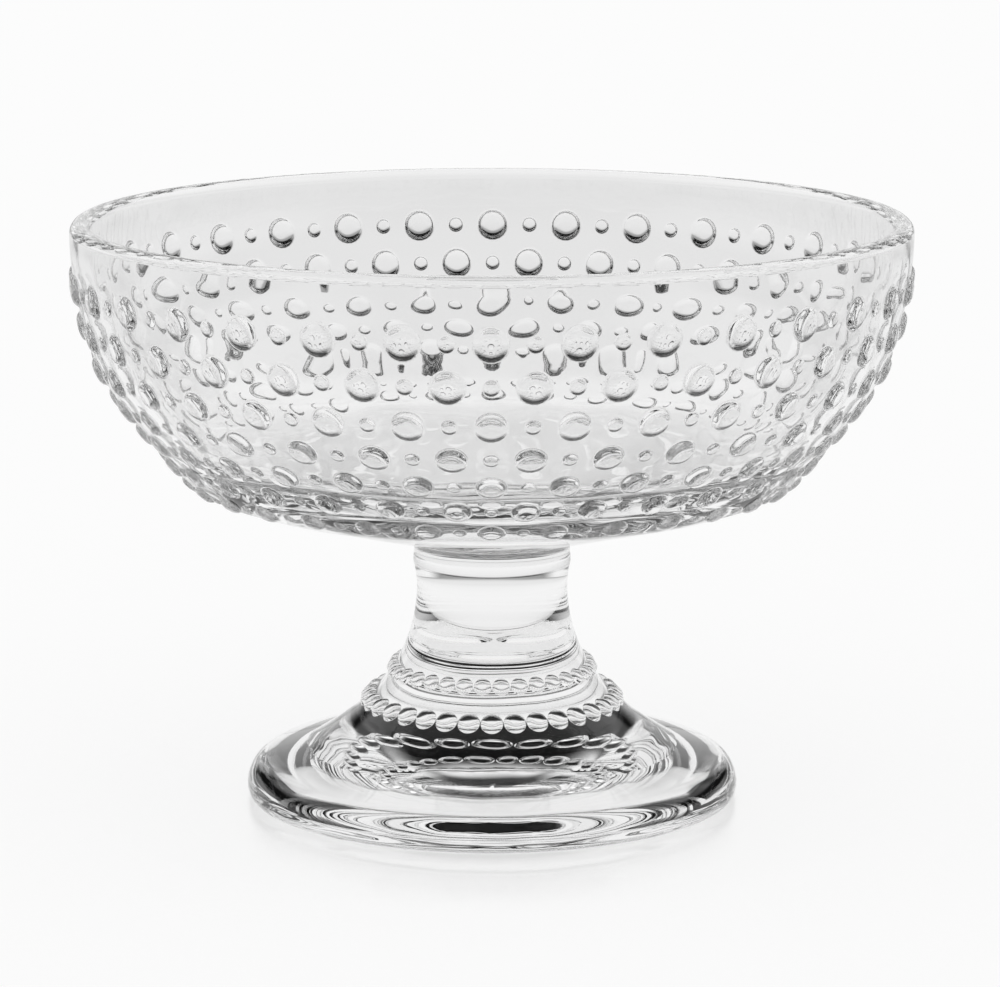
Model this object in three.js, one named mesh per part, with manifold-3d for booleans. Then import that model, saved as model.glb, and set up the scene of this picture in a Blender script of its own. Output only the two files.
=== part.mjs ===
// Footed serving bowl in clear pressed glass, in millimetres, +Z up.
// The bowl and its pedestal are pressed in separate moulds and joined hot by a wafer of glass.
// The origin is the centre of the ring that the foot stands on.
import * as THREE from "three";
import { mergeVertices } from "three/addons/utils/BufferGeometryUtils.js";
import Module from "manifold-3d";

// Heights of the three pieces, stacked from the table up
const PEDESTAL_HEIGHT = 42.2;
const WAFER_THICKNESS = 2;
const BOWL_HEIGHT = 60.8;

// Fused joint: the boss under the bowl, the wafer and the top of the stem
const JOINT_RADIUS = 14.1;
const WAFER_BULGE = 0.12;

// Bowl outside, as corners of its profile; heights are above the boss's face
const RIM_RADIUS = 75;
const RIM_STRAIGHT = 9;
const SHOULDER_RADIUS = 70.6;
const SHOULDER_HEIGHT = 33.6;
const SHOULDER_BLEND = 9;
const HEEL_RADIUS = 53.5;
const HEEL_HEIGHT = 12.8;
const HEEL_BLEND = 5;
const BOSS_HEIGHT = 2.4;
const BOSS_BLEND = 1.8;

// Bowl inside
const WALL = 3.8;
const FLOOR_HEIGHT = 11.2;
const INSIDE_HEEL_BLEND = 12;
const INSIDE_SHOULDER_BLEND = 9;

// Hobnail relief on the bowl: staggered rings, each with the same number of hobs
const HOBS_PER_RING = 32;
const PLAIN_BAND = 7.4;
const RING_STRETCH = 1.04;
const HOB_FILL = 0.76;
const HOB_RISE = 0.23;
const HOB_SIDES = 5;
const HOB_SINK = 0.6;
const HOB_FLANK = 1.06;

// Pedestal: resting ring, full edge, sloping ledge, flare and stem
const HOLLOW_DEPTH = 3.8;
const HOLLOW_FULLNESS = 0.85;
const REST_INNER_RADIUS = 36;
const REST_OUTER_RADIUS = 43.7;
const FOOT_RADIUS = 44.5;
const FOOT_EDGE_HEIGHT = 2.2;
const EDGE_FULLNESS = 0.85;
const LEDGE_RADIUS = 41.1;
const LEDGE_HEIGHT = 6.7;
const FLARE_RADIUS = 33.6;
const FLARE_HEIGHT = 9;
const FLARE_KNEE_RADIUS = 13.8;
const FLARE_KNEE_HEIGHT = 20.6;
const STEM_RADIUS = 13.6;
const STEM_FOOT_HEIGHT = 38;

// Two staggered strings of pearls round the flare, by their way up it from the ledge
const PEARLS_PER_RING = 34;
const PEARL_RINGS = [14.2, 21.4];
const PEARL_FILL = 0.94;
const PEARL_RISE = 0.46;

// Facets of the revolved surfaces
const BOWL_FACETS = 2 * HOBS_PER_RING;
const PEDESTAL_FACETS = 2 * PEARLS_PER_RING;
const ARC_STEPS = 4;
const FLARE_STEPS = 9;

const wasm = await Module();
wasm.setup();

const point = (radius, height) => new THREE.Vector2(radius, height);

// A closed geometry as a solid for joining: vertices merged, and the collapsed faces at the axis dropped.
function solidFrom(geometry) {
  const bare = geometry.clone();
  bare.deleteAttribute("normal");
  bare.deleteAttribute("uv");
  const merged = mergeVertices(bare, 1e-4);
  const index = merged.index.array;
  const kept = [];
  for (let i = 0; i < index.length; i += 3) {
    const [a, b, c] = index.slice(i, i + 3);
    if (a !== b && b !== c && c !== a) kept.push(a, b, c);
  }
  const mesh = new wasm.Mesh({
    numProp: 3,
    vertProperties: new Float32Array(merged.attributes.position.array),
    triVerts: new Uint32Array(kept),
  });
  return new wasm.Manifold(mesh);
}

// A joined solid back as a geometry, turned from the lathe's +Y axis to +Z.
function geometryFrom(solid) {
  const mesh = solid.getMesh();
  const geometry = new THREE.BufferGeometry();
  geometry.setAttribute("position", new THREE.BufferAttribute(mesh.vertProperties, 3));
  geometry.setIndex(new THREE.BufferAttribute(mesh.triVerts, 1));
  return geometry.rotateX(Math.PI / 2);
}

// Revolves a profile, with the middle of a facet at azimuth 0.
function revolve(profile, facets) {
  return new THREE.LatheGeometry(profile, facets, -Math.PI / facets, 2 * Math.PI);
}

// A path through corners, each rounded over a stated length of both its sides, as far as they have room.
function roundedPath(start, corners, end) {
  const stops = [start, ...corners.map(({ at }) => at), end];
  const path = new THREE.Path().moveTo(start.x, start.y);
  corners.forEach(({ at, blend }, i) => {
    const before = stops[i].clone().sub(at);
    const after = stops[i + 2].clone().sub(at);
    const roomBefore = before.length() / (i ? 2 : 1);
    const roomAfter = after.length() / (i + 1 < corners.length ? 2 : 1);
    const reach = Math.min(blend, roomBefore, roomAfter);
    const enter = before.setLength(reach).add(at);
    const leave = after.setLength(reach).add(at);
    path.lineTo(enter.x, enter.y);
    path.quadraticCurveTo(at.x, at.y, leave.x, leave.y);
  });
  return path.lineTo(end.x, end.y);
}

// A corner moved inwards, so that both walls that meet there are as thick as stated.
function insetCorner(before, corner, after, wall) {
  const inward = (from, to) => {
    const along = to.clone().sub(from).normalize();
    return point(-along.y, along.x);
  };
  const first = inward(before, corner);
  const second = inward(corner, after);
  const reach = wall / (1 + first.dot(second));
  return corner.clone().add(first.add(second).multiplyScalar(reach));
}

// A many-sided dome for a hob or a pearl, with its foot sunk into the wall that carries it.
function dome(radius, rise) {
  const waist = Math.SQRT1_2;
  const profile = [
    point(0, -HOB_SINK),
    point(radius * HOB_FLANK, -HOB_SINK),
    point(radius * waist, rise * waist),
    point(0, rise),
  ];
  return solidFrom(new THREE.LatheGeometry(profile, HOB_SIDES));
}

// A ring of domes on a profile, standing square to it at the given way along the path.
function domeRing(path, way, count, turn, diameter, riseShare) {
  const share = way / path.getLength();
  const seat = path.getPoint(share);
  const along = path.getTangent(share);
  const bump = dome(diameter / 2, diameter * riseShare);
  const domes = [];
  for (let i = 0; i < count; i++) {
    const azimuth = ((i + turn) * 2 * Math.PI) / count;
    const sideways = new THREE.Vector3(Math.cos(azimuth), 0, -Math.sin(azimuth));
    const outward = new THREE.Vector3(along.y * Math.sin(azimuth), -along.x, along.y * Math.cos(azimuth));
    const upward = new THREE.Vector3().crossVectors(sideways, outward);
    const placing = new THREE.Matrix4().makeBasis(sideways, outward, upward);
    placing.setPosition(seat.x * Math.sin(azimuth), seat.y, seat.x * Math.cos(azimuth));
    domes.push(bump.transform(placing.elements));
  }
  return domes;
}

// Bowl
function bowlGeometry() {
  const bossFoot = point(JOINT_RADIUS, 0);
  const bossTop = point(JOINT_RADIUS, BOSS_HEIGHT);
  const heel = point(HEEL_RADIUS, HEEL_HEIGHT);
  const shoulder = point(SHOULDER_RADIUS, SHOULDER_HEIGHT);
  const rimCorner = point(RIM_RADIUS, BOWL_HEIGHT - RIM_STRAIGHT);
  const lipRadius = WALL / 2;
  const lipStart = point(RIM_RADIUS, BOWL_HEIGHT - lipRadius);

  const outside = roundedPath(
    bossFoot,
    [
      { at: bossTop, blend: BOSS_BLEND },
      { at: heel, blend: HEEL_BLEND },
      { at: shoulder, blend: SHOULDER_BLEND },
      { at: rimCorner, blend: RIM_STRAIGHT - lipRadius },
    ],
    lipStart,
  );

  // Rings run down from the plain band to the heel, each a little taller than its cells are wide.
  const length = outside.getLength();
  const heelWay = bossFoot.distanceTo(bossTop) + bossTop.distanceTo(heel);
  const rings = [];
  let top = length - (PLAIN_BAND - lipRadius);
  while (top > heelWay) {
    const cell = (Math.PI * outside.getPoint(top / length).x) / HOBS_PER_RING;
    const bottom = top - cell * RING_STRETCH;
    rings.push({ top, bottom, cell });
    top = bottom;
  }

  const underside = roundedPath(bossFoot, [{ at: bossTop, blend: BOSS_BLEND }], heel);
  const ways = [top, ...rings.map((ring) => ring.top).reverse(), length];
  const outsidePoints = [
    ...underside.getPoints(ARC_STEPS / 2).slice(0, -1),
    ...ways.map((way) => outside.getPoint(way / length)),
  ];

  const inward = (before, corner, after) => insetCorner(before, corner, after, WALL);
  const insideHeel = inward(bossTop, heel, shoulder);
  const insideShoulder = inward(heel, shoulder, rimCorner);
  const insideRim = inward(shoulder, rimCorner, lipStart);
  const floor = point(0, FLOOR_HEIGHT);
  const lipEnd = point(RIM_RADIUS - WALL, BOWL_HEIGHT - lipRadius);
  const lip = new THREE.EllipseCurve(RIM_RADIUS - lipRadius, lipStart.y, lipRadius, lipRadius, 0, Math.PI);
  const inside = roundedPath(
    lipEnd,
    [
      { at: insideRim, blend: RIM_STRAIGHT - WALL },
      { at: insideShoulder, blend: INSIDE_SHOULDER_BLEND },
      { at: insideHeel, blend: INSIDE_HEEL_BLEND },
    ],
    floor,
  );

  const profile = [
    point(0, 0),
    ...outsidePoints,
    ...lip.getPoints(ARC_STEPS).slice(1, -1),
    ...inside.getPoints(ARC_STEPS / 2),
  ];
  let solid = solidFrom(revolve(profile, BOWL_FACETS));
  rings.forEach((ring, i) => {
    const way = (ring.top + ring.bottom) / 2;
    const turn = i % 2 ? 0.5 : 0;
    const hobs = domeRing(outside, way, HOBS_PER_RING, turn, ring.cell * HOB_FILL, HOB_RISE);
    solid = hobs.reduce((whole, hob) => whole.add(hob), solid);
  });
  return geometryFrom(solid);
}

// Joining wafer: a thin disc whose edge stands a little proud
function waferGeometry() {
  const edge = new THREE.EllipseCurve(
    JOINT_RADIUS, WAFER_THICKNESS / 2, WAFER_BULGE, WAFER_THICKNESS / 2, -Math.PI / 2, Math.PI / 2,
  );
  const profile = [point(0, 0), ...edge.getPoints(ARC_STEPS), point(0, WAFER_THICKNESS)];
  return geometryFrom(solidFrom(revolve(profile, PEDESTAL_FACETS)));
}

// Pedestal
function pedestalGeometry() {
  const hollow = new THREE.QuadraticBezierCurve(
    point(0, HOLLOW_DEPTH),
    point(REST_INNER_RADIUS * HOLLOW_FULLNESS, HOLLOW_DEPTH),
    point(REST_INNER_RADIUS, 0),
  );
  const edgeUnder = new THREE.EllipseCurve(
    REST_OUTER_RADIUS, FOOT_EDGE_HEIGHT, FOOT_RADIUS - REST_OUTER_RADIUS, FOOT_EDGE_HEIGHT, -Math.PI / 2, 0,
  );
  const edgeOver = new THREE.QuadraticBezierCurve(
    point(FOOT_RADIUS, FOOT_EDGE_HEIGHT),
    point(
      THREE.MathUtils.lerp(LEDGE_RADIUS, FOOT_RADIUS, EDGE_FULLNESS),
      THREE.MathUtils.lerp(FOOT_EDGE_HEIGHT, LEDGE_HEIGHT, EDGE_FULLNESS),
    ),
    point(LEDGE_RADIUS, LEDGE_HEIGHT),
  );
  const flare = new THREE.QuadraticBezierCurve(
    point(FLARE_RADIUS, FLARE_HEIGHT),
    point(FLARE_KNEE_RADIUS, FLARE_KNEE_HEIGHT),
    point(STEM_RADIUS, STEM_FOOT_HEIGHT),
  );
  const stemTop = new THREE.QuadraticBezierCurve(
    point(STEM_RADIUS, STEM_FOOT_HEIGHT),
    point(STEM_RADIUS, (STEM_FOOT_HEIGHT + PEDESTAL_HEIGHT) / 2),
    point(JOINT_RADIUS, PEDESTAL_HEIGHT),
  );
  const profile = [
    ...hollow.getPoints(ARC_STEPS),
    ...edgeUnder.getPoints(ARC_STEPS),
    ...edgeOver.getPoints(ARC_STEPS).slice(1),
    ...flare.getPoints(FLARE_STEPS),
    ...stemTop.getPoints(ARC_STEPS / 2).slice(1),
    point(0, PEDESTAL_HEIGHT),
  ];
  let solid = solidFrom(revolve(profile, PEDESTAL_FACETS));
  PEARL_RINGS.forEach((way, i) => {
    const seat = flare.getPointAt(way / flare.getLength());
    const pitch = (2 * Math.PI * seat.x) / PEARLS_PER_RING;
    const path = new THREE.CurvePath();
    path.add(flare);
    const pearls = domeRing(path, way, PEARLS_PER_RING, i / 2, pitch * PEARL_FILL, PEARL_RISE);
    solid = pearls.reduce((whole, pearl) => whole.add(pearl), solid);
  });
  return geometryFrom(solid);
}

// One named piece of clear glass, set at its height in the stack.
function piece(name, geometry, height) {
  const pressedGlass = new THREE.MeshStandardMaterial({
    color: 0xe9eded,
    roughness: 0.04,
    metalness: 0,
    transparent: true,
    opacity: 0.4,
  });
  const mesh = new THREE.Mesh(geometry, pressedGlass);
  mesh.name = name;
  mesh.position.z = height;
  return mesh;
}

const footedBowl = new THREE.Group();
footedBowl.add(piece("pedestal", pedestalGeometry(), 0));
footedBowl.add(piece("joining_wafer", waferGeometry(), PEDESTAL_HEIGHT));
footedBowl.add(piece("bowl", bowlGeometry(), PEDESTAL_HEIGHT + WAFER_THICKNESS));

export default footedBowl;
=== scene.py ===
import math

import bmesh
import bpy
import numpy as np
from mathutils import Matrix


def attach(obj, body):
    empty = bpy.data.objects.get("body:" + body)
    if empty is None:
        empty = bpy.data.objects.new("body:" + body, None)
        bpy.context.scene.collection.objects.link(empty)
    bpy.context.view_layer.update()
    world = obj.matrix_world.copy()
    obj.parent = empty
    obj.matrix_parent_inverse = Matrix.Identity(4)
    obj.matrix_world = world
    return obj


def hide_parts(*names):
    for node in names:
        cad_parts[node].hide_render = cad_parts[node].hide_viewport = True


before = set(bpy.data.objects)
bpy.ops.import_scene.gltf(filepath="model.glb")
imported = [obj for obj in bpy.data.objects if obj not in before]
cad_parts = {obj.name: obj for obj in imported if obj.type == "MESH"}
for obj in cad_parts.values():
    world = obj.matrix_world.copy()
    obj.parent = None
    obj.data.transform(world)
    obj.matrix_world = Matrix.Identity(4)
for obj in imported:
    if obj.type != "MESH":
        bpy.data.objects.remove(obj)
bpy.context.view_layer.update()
scene = bpy.context.scene
MM = 0.001

# Camera: a long lens a little above the rim, looking down at the bowl and slightly to its right.
# Its place is worked out from the ellipses that the rim and the foot draw in the picture.
CAMERA_BACK = 788.5
CAMERA_UP = 208.4
CAMERA_RIGHT = 1.44
CAMERA_TILT = 11.02
CAMERA_LENS = 160.5

camera = bpy.data.objects.new("camera", bpy.data.cameras.new("camera"))
scene.collection.objects.link(camera)
scene.camera = camera
camera.data.sensor_width = 36.0
camera.data.lens = CAMERA_LENS
camera.data.clip_end = 50.0
camera.location = (CAMERA_RIGHT * MM, -CAMERA_BACK * MM, CAMERA_UP * MM)
camera.rotation_euler = (math.radians(90.0 - CAMERA_TILT), 0.0, 0.0)

# Bowl: the round bowl of clear pressed glass, pressed in one with its hobnail relief, its rounded lip
# and the boss under its floor. Its inside is left smooth by the plunger, and fire polish softens every edge.
PEDESTAL_HEIGHT = 42.2
WAFER_THICKNESS = 2.0
BOWL_HEIGHT = 60.8
JOINT_RADIUS = 14.1
RIM_RADIUS = 75.0
RIM_STRAIGHT = 9.0
SHOULDER = (70.6, 33.6)
SHOULDER_BLEND = 9.0
HEEL = (53.5, 12.8)
HEEL_BLEND = 5.0
BOSS_HEIGHT = 2.4
BOSS_BLEND = 1.8
WALL = 3.8
FLOOR_HEIGHT = 11.2
INSIDE_HEEL_BLEND = 12.0
INSIDE_SHOULDER_BLEND = 9.0
HOBS_PER_RING = 32
PLAIN_BAND = 7.4
RING_STRETCH = 1.04
HOB_FILL = 0.74
PEARL_FILL = 0.36
HOB_RISE = 0.15
DOME_FULLNESS = 3.0
DOME_RINGS = (0.93, 0.82, 0.66, 0.42)
HOB_FILLET = 0.1
CELL_STEPS = 5
FILLET_STEPS = 4
PATH_STEP = 0.1
BOSS_RINGS = (0.5, 4.6, 8)
UNDERSIDE_RINGS = (6.5, 9)
BAND_RINGS = 4
LIP_RINGS = 12
INSIDE_RINGS = 39
FLOOR_RADIUS = 36.0
FLOOR_RINGS = ((24.0, 2), (12.0, 4), (6.0, 8), (3.0, 16))


def unit(vector):
    return np.asarray(vector, float) / np.linalg.norm(vector)


def rounded_path(start, corners, end):
    """Points close together along straight sides with rounded corners."""
    stops = [np.asarray(p, float) for p in (start, *(at for at, blend in corners), end)]
    points = [stops[0]]

    def run_to(target):
        steps = max(1, int(np.linalg.norm(target - points[-1]) / PATH_STEP))
        origin = points[-1]
        points.extend(origin + (target - origin) * (i + 1) / steps for i in range(steps))

    for i, (at, blend) in enumerate(corners):
        at = np.asarray(at, float)
        before, after = stops[i] - at, stops[i + 2] - at
        room_before = np.linalg.norm(before) / (2 if i else 1)
        room_after = np.linalg.norm(after) / (2 if i + 1 < len(corners) else 1)
        reach = min(blend, room_before, room_after)
        enter, leave = at + unit(before) * reach, at + unit(after) * reach
        run_to(enter)
        steps = max(8, int(2 * reach / PATH_STEP))
        for t in np.linspace(0, 1, steps + 1)[1:]:
            points.append((1 - t) ** 2 * enter + 2 * t * (1 - t) * at + t ** 2 * leave)
    run_to(stops[-1])
    return np.array(points)


class Profile:
    """A profile in radius and height, read by the way along it."""

    def __init__(self, points):
        gaps = np.linalg.norm(np.diff(points, axis=0), axis=1)
        keep = np.concatenate([[True], gaps > 1e-6])
        self.points = points[keep]
        self.ways = np.concatenate([[0], np.cumsum(gaps[gaps > 1e-6])])
        self.length = self.ways[-1]

    def at(self, way):
        return (np.interp(way, self.ways, self.points[:, 0]),
                np.interp(way, self.ways, self.points[:, 1]))

    def outward(self, way, reach=0.25):
        r0, z0 = self.at(np.maximum(way - reach, 0))
        r1, z1 = self.at(np.minimum(way + reach, self.length))
        span = np.hypot(r1 - r0, z1 - z0)
        return (z1 - z0) / span, -(r1 - r0) / span


def inset_corner(before, corner, after, wall):
    """The corner of the inside profile that lies one wall in from a corner of the outside."""
    first = unit(np.subtract(corner, before))
    second = unit(np.subtract(after, corner))
    first = np.array((-first[1], first[0]))
    second = np.array((-second[1], second[0]))
    return np.asarray(corner) + (first + second) * wall / (1 + first @ second)


class GlassMesh:
    """Collects rings and cells of one pressed piece, in millimetres, and makes its closed mesh."""

    def __init__(self, columns, turn):
        self.columns = columns
        self.turn = turn
        self.points = []
        self.normals = []
        self.faces = []
        self.joint_faces = []

    def place(self, azimuth, radius, height, out_r, out_z, side=0.0):
        """A point by its azimuth, with the way its surface faces: outward, up and sideways."""
        sine, cosine = math.sin(azimuth), math.cos(azimuth)
        self.points.append((radius * sine, -radius * cosine, height))
        self.normals.append((out_r * sine + side * cosine, -out_r * cosine + side * sine, out_z))
        return len(self.points) - 1

    def azimuth(self, column):
        return 2 * math.pi * (column / self.columns) + self.turn

    def ring(self, radius, height, out_r, out_z, count=None):
        step = self.columns // (count or self.columns)
        return [self.place(self.azimuth(column), radius, height, out_r, out_z)
                for column in range(0, self.columns, step)]

    def stitch(self, low, high):
        """Faces between two rings; the second may have half as many points as the first."""
        count = len(low)
        if len(high) == count:
            for i in range(count):
                j = (i + 1) % count
                self.faces.append((low[i], low[j], high[j], high[i]))
            return
        for i in range(len(high)):
            j = (i + 1) % len(high)
            a, b, c = low[2 * i], low[2 * i + 1], low[(2 * i + 2) % count]
            self.faces.append((a, b, high[i]))
            self.faces.append((b, c, high[j], high[i]))

    def close(self, ring, height, facing, joint=False):
        """Closes a ring with a fan facing up or down, or with a disc that is fused to the next piece."""
        centre = self.place(0.0, 0.0, height, 0.0, facing)
        faces = self.joint_faces if joint else self.faces
        for i, a in enumerate(ring):
            faces.append((a, ring[(i + 1) % len(ring)], centre))

    def cell_row(self, profile, low_way, high_way, low_ring, high_ring, steps, offset, dome_at):
        """A row of cells between two rings, each with the dome that dome_at gives for it."""
        cells = self.columns // steps
        sides = []
        for cell in range(cells):
            azimuth = self.azimuth(cell * steps + offset)
            ways = [low_way + (high_way - low_way) * k / steps for k in range(1, steps)]
            sides.append([self.place(azimuth, *profile.at(way), *profile.outward(way)) for way in ways])
        middle = (low_way + high_way) / 2
        for cell in range(cells):
            first = cell * steps + offset
            columns = [(first + k) % self.columns for k in range(steps + 1)]
            right = sides[(cell + 1) % cells]
            loop = [low_ring[c] for c in columns]
            loop += right + [high_ring[columns[-1]]]
            loop += [high_ring[c] for c in reversed(columns[:-1])]
            loop += list(reversed(sides[cell]))
            self.dome(profile, middle, self.azimuth(first + steps / 2), loop, dome_at(cell))

    def dome(self, profile, way, azimuth, loop, levels):
        """A round dome inside one cell, by its levels from the cell's edge to the last one, its top."""
        count = len(loop)
        for reach, lift, tilt in levels[:-1]:
            inner = []
            for i in range(count):
                angle = 2 * math.pi * i / count - 0.75 * math.pi
                here = way + reach * math.sin(angle)
                radius, height = profile.at(here)
                out_r, out_z = profile.outward(here)
                flat, steep = math.cos(tilt), math.sin(tilt)
                along = steep * math.sin(angle)
                inner.append(self.place(
                    azimuth + reach * math.cos(angle) / radius,
                    radius + lift * out_r, height + lift * out_z,
                    flat * out_r - along * out_z, flat * out_z + along * out_r, steep * math.cos(angle)))
            for i in range(count):
                j = (i + 1) % count
                self.faces.append((loop[i], loop[j], inner[j], inner[i]))
            loop = inner
        radius, height = profile.at(way)
        out_r, out_z = profile.outward(way)
        rise = levels[-1][1]
        top = self.place(azimuth, radius + rise * out_r, height + rise * out_z, out_r, out_z)
        for i in range(count):
            self.faces.append((loop[i], loop[(i + 1) % count], top))

    def build(self, name, lift, glass, joint):
        mesh = bpy.data.meshes.new(name)
        vertices = np.array(self.points)
        vertices[:, 2] += lift
        mesh.from_pydata((vertices * MM).tolist(), [], self.faces + self.joint_faces)
        mesh.materials.append(glass)
        mesh.materials.append(joint)
        for face in mesh.polygons[len(self.faces):]:
            face.material_index = 1
        work = bmesh.new()
        work.from_mesh(mesh)
        bmesh.ops.recalc_face_normals(work, faces=work.faces)
        work.to_mesh(mesh)
        work.free()
        mesh.shade_smooth()
        normals = [self.normals[loop.vertex_index] for loop in mesh.loops]
        for face in mesh.polygons[len(self.faces):]:
            for loop in face.loop_indices:
                normals[loop] = tuple(face.normal)
        mesh.normals_split_custom_set(normals)
        piece = bpy.data.objects.new(name, mesh)
        scene.collection.objects.link(piece)
        return piece


def dome_levels(diameter, rise, fillet):
    """Reach, lift and tilt up a dome with a filleted foot, a steep edge and a flatter top."""
    base = diameter / 2
    edge = (DOME_FULLNESS + 1) * rise / base
    lean = math.atan(edge)
    foot = base + fillet * math.sin(lean)
    levels = [(foot - fillet * math.sin(t), fillet - fillet * math.cos(t), t)
              for t in np.linspace(0.0, lean, FILLET_STEPS)]
    sunk = levels[-1][1]
    for part in DOME_RINGS:
        lift = sunk + rise * (1 - part ** (DOME_FULLNESS + 1))
        levels.append((base * part, lift, math.atan(edge * part ** DOME_FULLNESS)))
    return levels + [(0.0, sunk + rise, 0.0)]


def linear(code):
    """A colour written as sRGB hex, as the linear values that sockets take."""
    parts = [int(code[i:i + 2], 16) / 255 for i in (1, 3, 5)]
    return tuple(p / 12.92 if p <= 0.04045 else ((p + 0.055) / 1.055) ** 2.4 for p in parts) + (1.0,)


def add_node(tree, kind, links=(), **settings):
    """Adds one node, sets its inputs by name or number and its own properties, and links it."""
    node = tree.nodes.new(kind)
    for key, value in settings.items():
        if key.startswith("in_"):
            key = key[3:].replace("_", " ")
            node.inputs[int(key) if key.isdigit() else key].default_value = value
        else:
            setattr(node, key, value)
    for source, socket in links:
        tree.links.new(source, node.inputs[socket])
    return node


def new_material(name):
    """An empty node material."""
    material = bpy.data.materials.new(name)
    material.use_nodes = True
    material.node_tree.nodes.clear()
    return material


# Clear pressed soda-lime glass, fire polished: the mould's slow waves and a faint orange peel are left
# under a bright skin, so straight lines seen through it swim a little.
GLASS_TINT = "#FCFCFC"
GLASS_IOR = 1.52
SKIN_MIRROR = "#B3B3B3"
SKIN_HAZE = 0.006
MOULD_WAVE = 14.0
WAVE_DEPTH = 0.25
WAVE_STRENGTH = 0.8
ORANGE_PEEL = 2.2
PEEL_DEPTH = 0.04
PEEL_STRENGTH = 0.012

pressed_glass = new_material("pressed_soda_lime_glass_fire_polished")
tree = pressed_glass.node_tree
place = add_node(tree, "ShaderNodeTexCoord")
waves = add_node(tree, "ShaderNodeTexNoise", [(place.outputs["Object"], "Vector")],
                 in_Scale=1000 / MOULD_WAVE, in_Detail=1.0)
peel = add_node(tree, "ShaderNodeTexNoise", [(place.outputs["Object"], "Vector")],
                in_Scale=1000 / ORANGE_PEEL, in_Detail=2.0)
wavy = add_node(tree, "ShaderNodeBump", [(waves.outputs["Fac"], "Height")],
                in_Strength=WAVE_STRENGTH, in_Distance=WAVE_DEPTH * MM)
dimpled = add_node(tree, "ShaderNodeBump",
                   [(peel.outputs["Fac"], "Height"), (wavy.outputs["Normal"], "Normal")],
                   in_Strength=PEEL_STRENGTH, in_Distance=PEEL_DEPTH * MM)
polish = add_node(tree, "ShaderNodeMapRange", [(waves.outputs["Fac"], "Value")],
                  in_3=0.0, in_4=SKIN_HAZE)
glass = add_node(tree, "ShaderNodeBsdfPrincipled",
                 [(polish.outputs["Result"], "Roughness"), (dimpled.outputs["Normal"], "Normal")],
                 in_Base_Color=linear(GLASS_TINT), in_IOR=GLASS_IOR, in_Transmission_Weight=1.0,
                 in_Specular_Tint=linear(SKIN_MIRROR))
add_node(tree, "ShaderNodeOutputMaterial", [(glass.outputs["BSDF"], "Surface")])

# Fused joint: hot glass run into hot glass, with no surface left between the two pieces.
fused_joint = new_material("fused_glass_joint")
tree = fused_joint.node_tree
clear = add_node(tree, "ShaderNodeBsdfTransparent", in_Color=linear("#FFFFFF"))
add_node(tree, "ShaderNodeOutputMaterial", [(clear.outputs["BSDF"], "Surface")])

boss_foot = (JOINT_RADIUS, 0.0)
boss_top = (JOINT_RADIUS, BOSS_HEIGHT)
lip_radius = WALL / 2
rim_corner = (RIM_RADIUS, BOWL_HEIGHT - RIM_STRAIGHT)
lip_start = (RIM_RADIUS, BOWL_HEIGHT - lip_radius)
lip_end = (RIM_RADIUS - WALL, BOWL_HEIGHT - lip_radius)
outside = Profile(rounded_path(boss_foot, [
    (boss_top, BOSS_BLEND), (HEEL, HEEL_BLEND), (SHOULDER, SHOULDER_BLEND),
    (rim_corner, RIM_STRAIGHT - lip_radius)], lip_start))
inside = Profile(rounded_path(lip_end, [
    (inset_corner(SHOULDER, rim_corner, lip_start, WALL), RIM_STRAIGHT - WALL),
    (inset_corner(HEEL, SHOULDER, rim_corner, WALL), INSIDE_SHOULDER_BLEND),
    (inset_corner(boss_top, HEEL, SHOULDER, WALL), INSIDE_HEEL_BLEND)], (0.0, FLOOR_HEIGHT)))

heel_way = BOSS_HEIGHT + math.dist(boss_top, HEEL)
hob_rows = []
row_top = outside.length - (PLAIN_BAND - lip_radius)
while row_top > heel_way:
    cell = math.pi * float(outside.at(row_top)[0]) / HOBS_PER_RING
    hob_rows.append((row_top - cell * RING_STRETCH, row_top, cell))
    row_top -= cell * RING_STRETCH

bowl_columns = 2 * HOBS_PER_RING * CELL_STEPS
bowl_mesh = GlassMesh(bowl_columns, -math.pi / (2 * HOBS_PER_RING))


def chain(mesh, profile, ways, ring, counts=None):
    """Carries a ring along a profile, ring by ring."""
    for k, way in enumerate(ways):
        radius, height = profile.at(way)
        following = mesh.ring(radius, height, *profile.outward(way), counts[k] if counts else len(ring))
        mesh.stitch(ring, following)
        ring = following
    return ring


boss_ring = bowl_mesh.ring(*boss_foot, 1.0, 0.0)
bowl_mesh.close(boss_ring, 0.0, -1.0, joint=True)
under_ways = np.concatenate([np.linspace(*BOSS_RINGS),
                             np.linspace(UNDERSIDE_RINGS[0], row_top, UNDERSIDE_RINGS[1])])
ring = chain(bowl_mesh, outside, under_ways, boss_ring)
for number, (low_way, high_way, cell) in reversed(list(enumerate(hob_rows))):
    hob = dome_levels(cell * HOB_FILL, cell * HOB_FILL * HOB_RISE, cell * HOB_FILLET)
    pearl = dome_levels(cell * PEARL_FILL, cell * PEARL_FILL * HOB_RISE, cell * HOB_FILLET / 2)
    upper = bowl_mesh.ring(*outside.at(high_way), *outside.outward(high_way))
    bowl_mesh.cell_row(outside, low_way, high_way, ring, upper, CELL_STEPS, 0,
                       lambda j: hob if (j + number) % 2 == 0 else pearl)
    ring = upper
ring = chain(bowl_mesh, outside, np.linspace(hob_rows[0][1], outside.length, BAND_RINGS + 1)[1:], ring)
for angle in np.linspace(0, math.pi, LIP_RINGS + 1)[1:]:
    out_r, out_z = math.cos(angle), math.sin(angle)
    following = bowl_mesh.ring(RIM_RADIUS - lip_radius + lip_radius * out_r,
                               lip_start[1] + lip_radius * out_z, out_r, out_z)
    bowl_mesh.stitch(ring, following)
    ring = following
wall_ways = np.linspace(0, inside.length - FLOOR_RADIUS, INSIDE_RINGS + 1)[1:]
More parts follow.
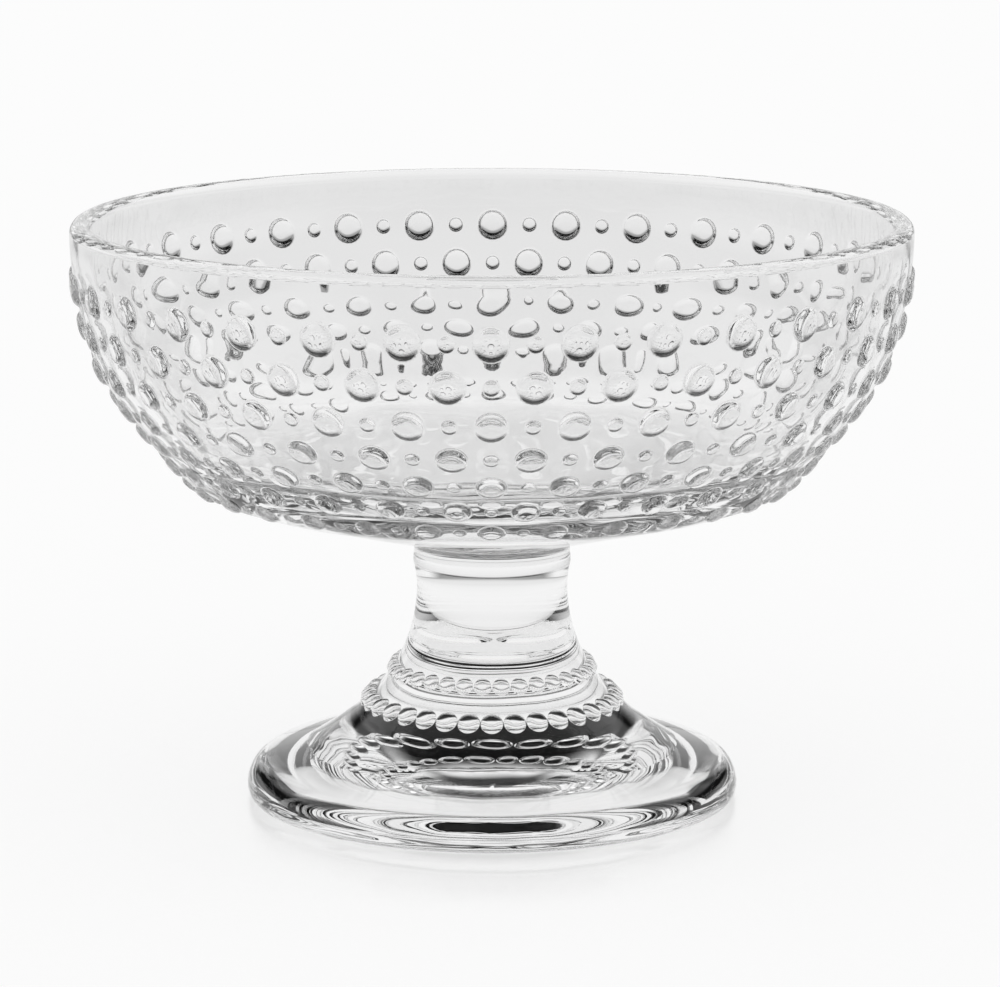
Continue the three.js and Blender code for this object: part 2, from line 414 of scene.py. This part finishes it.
floor_ways = [inside.length - radius for radius, share in FLOOR_RINGS]
inside_ways = np.concatenate([wall_ways, floor_ways])
counts = [bowl_columns] * INSIDE_RINGS + [bowl_columns // share for radius, share in FLOOR_RINGS]
ring = chain(bowl_mesh, inside, inside_ways, ring, counts)
bowl_mesh.close(ring, FLOOR_HEIGHT, 1.0)

bowl = bowl_mesh.build("bowl_pressed", PEDESTAL_HEIGHT + WAFER_THICKNESS, pressed_glass, fused_joint)
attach(bowl, "root")
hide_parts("bowl")

# Joining wafer: the thin disc of hot glass that bonds the bowl's boss to the stem.
# It was squeezed while soft, so its edge stands a little proud of both.
WAFER_BULGE = 0.12
WAFER_RINGS = 10
CURVE_POINTS = 401
PEARLS_PER_RING = 34
PEARL_STEPS = 8


def elbow(centre, width, rise, first, last, steps):
    """A stretch of an ellipse, by its angles in degrees."""
    angles = np.radians(np.linspace(first, last, steps))
    return np.column_stack([centre[0] + width * np.cos(angles), centre[1] + rise * np.sin(angles)])


foot_columns = PEARLS_PER_RING * PEARL_STEPS
wafer_mesh = GlassMesh(foot_columns, 0.0)
edge = Profile(elbow((JOINT_RADIUS, WAFER_THICKNESS / 2), WAFER_BULGE, WAFER_THICKNESS / 2,
                     -90, 90, CURVE_POINTS))
ring = wafer_mesh.ring(JOINT_RADIUS, 0.0, *edge.outward(0.0))
wafer_mesh.close(ring, 0.0, -1.0, joint=True)
ring = chain(wafer_mesh, edge, np.linspace(0, edge.length, WAFER_RINGS + 1)[1:], ring)
wafer_mesh.close(ring, WAFER_THICKNESS, 1.0, joint=True)
wafer = wafer_mesh.build("joining_wafer_fused", PEDESTAL_HEIGHT, pressed_glass, fused_joint)
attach(wafer, "root")
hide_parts("joining_wafer")

# Pedestal: the stem and the flared foot, pressed as one piece of clear glass with two strings of pearls
# round the flare. The foot's edge is rolled, and a shallow hollow under it leaves a ring to stand on.
HOLLOW_DEPTH = 3.8
HOLLOW_FULLNESS = 0.85
REST_INNER_RADIUS = 36.0
REST_OUTER_RADIUS = 43.7
FOOT_RADIUS = 44.5
FOOT_EDGE_HEIGHT = 2.2
EDGE_FULLNESS = 0.85
LEDGE = (41.1, 6.7)
FLARE_START = (33.6, 9.0)
FLARE_KNEE = (13.8, 20.6)
STEM_RADIUS = 13.6
STEM_FOOT_HEIGHT = 38.0
PEARL_RINGS = (14.2, 21.4)
FOOT_PEARL_FILL = 0.94
FOOT_PEARL_RISE = 0.3
FOOT_PEARL_FILLET = 0.02
HOLLOW_START = ((4.0, 8), (8.0, 4), (12.0, 2), (17.0, 1))
HOLLOW_RINGS = 14
EDGE_UNDER_RINGS = 9
EDGE_OVER_RINGS = 16
LEDGE_RINGS = 5
FLARE_STEP = 1.2
STEM_RINGS = 11
STEM_TOP_RINGS = 5


def bend(start, knee, end, steps):
    """A quadratic curve from start to end, pulled towards its knee."""
    t = np.linspace(0, 1, steps)[:, None]
    start, knee, end = (np.asarray(p, float) for p in (start, knee, end))
    return (1 - t) ** 2 * start + 2 * t * (1 - t) * knee + t ** 2 * end


pedestal_mesh = GlassMesh(foot_columns, 0.0)
hollow_knee = (HOLLOW_FULLNESS * REST_INNER_RADIUS, HOLLOW_DEPTH)
hollow = Profile(bend((0, HOLLOW_DEPTH), hollow_knee, (REST_INNER_RADIUS, 0), CURVE_POINTS))
edge_under = Profile(elbow((REST_OUTER_RADIUS, FOOT_EDGE_HEIGHT), FOOT_RADIUS - REST_OUTER_RADIUS,
                           FOOT_EDGE_HEIGHT, -90, 0, CURVE_POINTS))
edge_foot = np.array((FOOT_RADIUS, FOOT_EDGE_HEIGHT))
edge_knee = (LEDGE[0] + EDGE_FULLNESS * (FOOT_RADIUS - LEDGE[0]),
             FOOT_EDGE_HEIGHT + EDGE_FULLNESS * (LEDGE[1] - FOOT_EDGE_HEIGHT))
edge_over = Profile(bend(edge_foot, edge_knee, LEDGE, CURVE_POINTS))
ledge = Profile(np.linspace(LEDGE, FLARE_START, CURVE_POINTS))
flare = Profile(bend(FLARE_START, FLARE_KNEE, (STEM_RADIUS, STEM_FOOT_HEIGHT), 2 * CURVE_POINTS))
stem_top = Profile(bend((STEM_RADIUS, STEM_FOOT_HEIGHT),
                        (STEM_RADIUS, (STEM_FOOT_HEIGHT + PEDESTAL_HEIGHT) / 2),
                        (JOINT_RADIUS, PEDESTAL_HEIGHT), CURVE_POINTS))

for way, share in HOLLOW_START:
    outer = pedestal_mesh.ring(*hollow.at(way), *hollow.outward(way), foot_columns // share)
    if way == HOLLOW_START[0][0]:
        pedestal_mesh.close(outer, HOLLOW_DEPTH, -1.0)
    else:
        pedestal_mesh.stitch(outer, ring)
    ring = outer
ring = chain(pedestal_mesh, hollow, np.linspace(way, hollow.length, HOLLOW_RINGS + 1)[1:], ring)
ring = chain(pedestal_mesh, edge_under, np.linspace(0, edge_under.length, EDGE_UNDER_RINGS), ring)
ring = chain(pedestal_mesh, edge_over, np.linspace(0, edge_over.length, EDGE_OVER_RINGS + 1)[1:], ring)
ring = chain(pedestal_mesh, ledge, np.linspace(0, ledge.length, LEDGE_RINGS), ring)
ring = chain(pedestal_mesh, flare, [0.0], ring)
way = 0.0
for number, middle in enumerate(PEARL_RINGS):
    pitch = 2 * math.pi * float(flare.at(middle)[0]) / PEARLS_PER_RING
    low_way, high_way = middle - pitch / 2, middle + pitch / 2
    steps = max(2, int((low_way - way) / FLARE_STEP))
    ring = chain(pedestal_mesh, flare, np.linspace(way, low_way, steps + 1)[1:], ring)
    diameter = pitch * FOOT_PEARL_FILL
    upper = pedestal_mesh.ring(*flare.at(high_way), *flare.outward(high_way))
    pedestal_mesh.cell_row(
        flare, low_way, high_way, ring, upper, PEARL_STEPS, (number - 1) * PEARL_STEPS // 2,
        lambda j: dome_levels(diameter, diameter * FOOT_PEARL_RISE, pitch * FOOT_PEARL_FILLET))
    ring, way = upper, high_way
ring = chain(pedestal_mesh, flare, np.linspace(way, flare.length, STEM_RINGS + 1)[1:], ring)
ring = chain(pedestal_mesh, stem_top, np.linspace(0, stem_top.length, STEM_TOP_RINGS + 1)[1:], ring)
pedestal_mesh.close(ring, PEDESTAL_HEIGHT, 1.0, joint=True)
pedestal = pedestal_mesh.build("pedestal_pressed", 0.0, pressed_glass, fused_joint)
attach(pedestal, "root")
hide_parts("pedestal")

# Table: a large white acrylic sheet, lit through from below so that it glows an even white for the camera. Glass
# sees painted light on it:
# a painted pool of light under the object that dims to painted shade far behind. The lamps' share of it keeps a soft
# shadow, and a worn polish round the foot mirrors it a little.
TABLE_SIZE = 16.0
TABLE_GAP = 0.02
TABLE_WHITE = "#FCFCFC"
TABLE_GLOW = 0.86
# Painted light: glass sees the sheet's glow as a painted pool of light round the object, dimming to painted shade
# far away.
PAINTED_POOL_REACH = (100.0, 450.0)
PAINTED_POOL_LEVEL = 0.97
LEVEL_PAST_PAINTED_POOL = 0.84
PAINTED_FADE_REACH = (500.0, 2600.0)
PAINTED_FADE_LEVEL = 0.4
TABLE_POLISH = 0.26
POLISH_REACH = (50.0, 82.0)
POLISH_BLUR = 0.24

table_mesh = bpy.data.meshes.new("table")
half = TABLE_SIZE / 2
corners = [(-half, -half, 0), (half, -half, 0), (half, half, 0), (-half, half, 0)]
table_mesh.from_pydata(corners, [], [(0, 1, 2, 3)])
table = bpy.data.objects.new("table", table_mesh)
scene.collection.objects.link(table)
table.location.z = -TABLE_GAP * MM
acrylic = new_material("white_acrylic_painted_light_pool")
tree = acrylic.node_tree
path = add_node(tree, "ShaderNodeLightPath")
reflected = add_node(tree, "ShaderNodeMath", operation="MAXIMUM",
                     links=[(path.outputs["Is Glossy Ray"], 0), (path.outputs["Is Transmission Ray"], 1)])
seen = add_node(tree, "ShaderNodeMath", [(path.outputs["Is Camera Ray"], 0), (reflected.outputs[0], 1)],
                operation="MAXIMUM")
share = add_node(tree, "ShaderNodeMath", [(seen.outputs[0], 0)], operation="MULTIPLY", in_1=TABLE_GLOW)
place = add_node(tree, "ShaderNodeTexCoord")
away = add_node(tree, "ShaderNodeVectorMath", [(place.outputs["Object"], 0)], operation="LENGTH")
# The painted pool of light and its painted dimming far away, which only glass rays see; the camera sees an even
# white.
painted_pool = add_node(tree, "ShaderNodeMapRange", [(away.outputs["Value"], "Value")], interpolation_type="SMOOTHSTEP",
                in_1=PAINTED_POOL_REACH[0] * MM, in_2=PAINTED_POOL_REACH[1] * MM, in_3=PAINTED_POOL_LEVEL, in_4=LEVEL_PAST_PAINTED_POOL)
far = add_node(tree, "ShaderNodeMapRange", [(away.outputs["Value"], "Value")], interpolation_type="SMOOTHSTEP",
               in_1=PAINTED_FADE_REACH[0] * MM, in_2=PAINTED_FADE_REACH[1] * MM, in_3=1.0, in_4=PAINTED_FADE_LEVEL)
painted_pool = add_node(tree, "ShaderNodeMath", [(painted_pool.outputs[0], 0), (far.outputs[0], 1)], operation="MULTIPLY")
strength = add_node(tree, "ShaderNodeMapRange", [(reflected.outputs[0], "Value"), (painted_pool.outputs[0], "To Max")],
                    in_3=1.0)
white = add_node(tree, "ShaderNodeBsdfDiffuse", in_Color=linear(TABLE_WHITE))
glow = add_node(tree, "ShaderNodeEmission", [(strength.outputs[0], "Strength")], in_Color=linear(TABLE_WHITE))
sheet = add_node(tree, "ShaderNodeMixShader", [(share.outputs[0], 0), (white.outputs[0], 1), (glow.outputs[0], 2)])
mirror = add_node(tree, "ShaderNodeBsdfGlossy", in_Color=linear(TABLE_WHITE), in_Roughness=POLISH_BLUR)
worn = add_node(tree, "ShaderNodeMapRange", [(away.outputs["Value"], "Value")], interpolation_type="SMOOTHSTEP",
                in_1=POLISH_REACH[0] * MM, in_2=POLISH_REACH[1] * MM, in_3=TABLE_POLISH, in_4=0.0)
polished = add_node(tree, "ShaderNodeMath", [(path.outputs["Is Camera Ray"], 0), (worn.outputs[0], 1)],
                    operation="MULTIPLY")
sheet = add_node(tree, "ShaderNodeMixShader",
                 [(polished.outputs[0], 0), (sheet.outputs[0], 1), (mirror.outputs[0], 2)])
add_node(tree, "ShaderNodeOutputMaterial", [(sheet.outputs[0], "Surface")])
table_mesh.materials.append(acrylic)

# Light: a softbox hangs behind and over the table in a dark room. A white sweep with a dark gap stands on each side,
# so clear glass draws itself in white with black lines. A white card far behind shows in mirrors only, so that the
# table's polish stays white. Matt surfaces are lit evenly from the whole dome.
TABLE_END = (1.5, 4.0)
SOFTBOX_LOW = (34.0, 47.0)
SOFTBOX_HIGH = (52.0, 64.0)
SOFTBOX_SIDE = (18.0, 42.0)
SOFTBOX_LEVEL = 1.3
SWEEP_SIDES = (22.0, 46.0)
SWEEP_FRONT = (115.0, 145.0)
SWEEP_TOP = (45.0, 62.0)
SWEEP_LEVEL = 0.95
GAP_LOW = (7.0, 11.0)
GAP_HIGH = (19.0, 25.0)
ROOM_BLACK = 0.006
CARD_TOP = (26.0, 36.0)
CARD_SIDE = (18.0, 30.0)

world = bpy.data.worlds.new("studio")
scene.world = world
world.use_nodes = True
tree = world.node_tree
tree.nodes.clear()
place = add_node(tree, "ShaderNodeTexCoord")
split = add_node(tree, "ShaderNodeSeparateXYZ", [(place.outputs["Generated"], 0)])
height = add_node(tree, "ShaderNodeMath", [(split.outputs["Z"], 0)], operation="ARCSINE")
turn = add_node(tree, "ShaderNodeMath", [(split.outputs["X"], 0), (split.outputs["Y"], 1)], operation="ARCTAN2")
aside = add_node(tree, "ShaderNodeMath", [(turn.outputs[0], 0)], operation="ABSOLUTE")


def ramp(angle, limits, first, last):
    """A soft step between two angles in degrees."""
    low, high = (math.radians(limit) for limit in limits)
    return add_node(tree, "ShaderNodeMapRange", [(angle.outputs[0], "Value")], interpolation_type="SMOOTHSTEP",
                    in_1=low, in_2=high, in_3=first, in_4=last)


softbox = add_node(tree, "ShaderNodeMath", operation="MULTIPLY",
                   links=[(ramp(height, SOFTBOX_LOW, 0.0, 1.0).outputs[0], 0),
                          (ramp(height, SOFTBOX_HIGH, 1.0, 0.0).outputs[0], 1)])
softbox = add_node(tree, "ShaderNodeMath", operation="MULTIPLY",
                   links=[(softbox.outputs[0], 0), (ramp(aside, SOFTBOX_SIDE, SOFTBOX_LEVEL, 0.0).outputs[0], 1)])
sweeps = add_node(tree, "ShaderNodeMath", operation="MULTIPLY",
                  links=[(ramp(aside, SWEEP_SIDES, 0.0, 1.0).outputs[0], 0),
                         (ramp(aside, SWEEP_FRONT, 1.0, 0.0).outputs[0], 1)])
sweeps = add_node(tree, "ShaderNodeMath", operation="MULTIPLY",
                  links=[(sweeps.outputs[0], 0), (ramp(height, SWEEP_TOP, SWEEP_LEVEL, 0.0).outputs[0], 1)])
gap = add_node(tree, "ShaderNodeMath", operation="MAXIMUM",
               links=[(ramp(height, GAP_LOW, 1.0, 0.0).outputs[0], 0),
                      (ramp(height, GAP_HIGH, 0.0, 1.0).outputs[0], 1)])
sweeps = add_node(tree, "ShaderNodeMath", operation="MULTIPLY",
                  links=[(sweeps.outputs[0], 0), (gap.outputs[0], 1)])
lamps = add_node(tree, "ShaderNodeMath", operation="MAXIMUM",
                 links=[(softbox.outputs[0], 0), (sweeps.outputs[0], 1)])
room = add_node(tree, "ShaderNodeMath", operation="MAXIMUM",
                links=[(lamps.outputs[0], 0),
                       (ramp(height, TABLE_END, LEVEL_PAST_PAINTED_POOL * PAINTED_FADE_LEVEL, ROOM_BLACK).outputs[0], 1)])
path = add_node(tree, "ShaderNodeLightPath")
card = add_node(tree, "ShaderNodeMath", operation="MULTIPLY",
                links=[(ramp(height, CARD_TOP, 1.0, 0.0).outputs[0], 0),
                       (ramp(aside, CARD_SIDE, 1.0, 0.0).outputs[0], 1)])
card = add_node(tree, "ShaderNodeMath", operation="MULTIPLY",
                links=[(card.outputs[0], 0), (path.outputs["Is Reflection Ray"], 1)])
room = add_node(tree, "ShaderNodeMath", [(room.outputs[0], 0), (card.outputs[0], 1)], operation="MAXIMUM")
seen = add_node(tree, "ShaderNodeMath", operation="MAXIMUM",
                links=[(path.outputs["Is Glossy Ray"], 0), (path.outputs["Is Transmission Ray"], 1)])
level = add_node(tree, "ShaderNodeMix", [(seen.outputs[0], 0), (room.outputs[0], 3)], in_2=1.0)
light = add_node(tree, "ShaderNodeBackground", [(level.outputs[0], "Strength")], in_Color=linear("#FFFFFF"))
add_node(tree, "ShaderNodeOutputWorld", [(light.outputs[0], "Surface")])

scene.view_settings.view_transform = "Standard"
scene.cycles.max_bounces = 32
scene.cycles.transmission_bounces = 32
scene.cycles.glossy_bounces = 16
scene.cycles.transparent_max_bounces = 32
